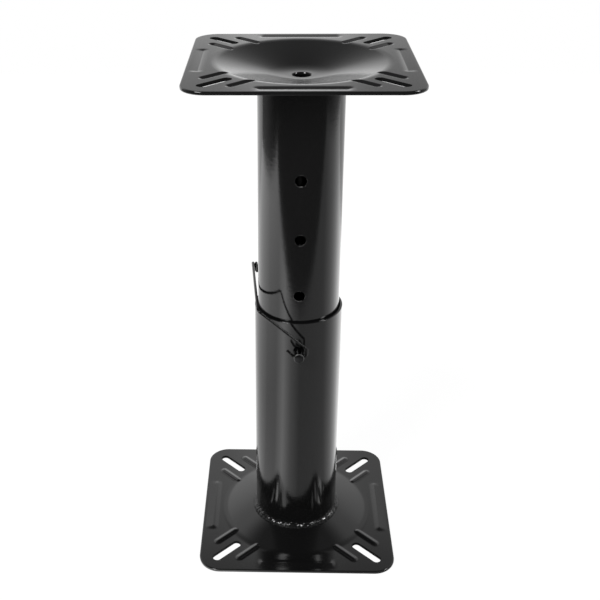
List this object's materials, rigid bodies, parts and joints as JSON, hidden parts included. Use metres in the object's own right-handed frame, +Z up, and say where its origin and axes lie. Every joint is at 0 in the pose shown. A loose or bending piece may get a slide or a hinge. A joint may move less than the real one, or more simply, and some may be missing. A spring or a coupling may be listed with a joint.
{
  "type": "boat seat pedestal",
  "caption": "Square-plated boat seat pedestal with a telescoping round steel post, a cross lock pin and a sprung latch wire.",
  "frame": {"origin": "middle of the base plate's underside, on the deck", "axes": "+Z up the post to the seat; -Y to the side the lock pin is pulled out of; +X to the right seen from there"},
  "size_m": [0.1778, 0.1778, 0.4436],
  "materials": {
    "plate_paint": "gloss black powder coat on pressed steel",
    "tube_paint": "gloss black powder coat on steel tube",
    "weld_paint": "gloss black powder coat over a fillet weld",
    "pin_steel": "dark plated steel, turned",
    "wire_steel": "black spring wire"
  },
  "bodies": {
    "lower_post": {"base_plate": "plate_paint", "base_weld": "weld_paint", "lower_tube": "tube_paint"},
    "upper_post": {"upper_tube": "tube_paint", "seat_weld": "weld_paint", "seat_plate": "plate_paint"},
    "pin_body": {"lock_pin": "pin_steel"},
    "wire_body": {"latch_wire": "wire_steel"}
  },
  "joints": [
    {"name": "height_slide", "type": "slide", "parent": "lower_post", "child": "upper_post", "axis": [0, 0, 1], "range_m": [-0.1536, 0]},
    {"name": "pin_slide", "type": "slide", "parent": "lower_post", "child": "pin_body", "axis": [0, -1, 0], "range_m": [0, 0.095]},
    {"name": "wire_swing", "type": "hinge", "parent": "pin_body", "child": "wire_body", "pos_m": [0, -0.046, 0.2023], "axis": [1, 0, 0], "range_deg": [0, 150]}
  ]
}
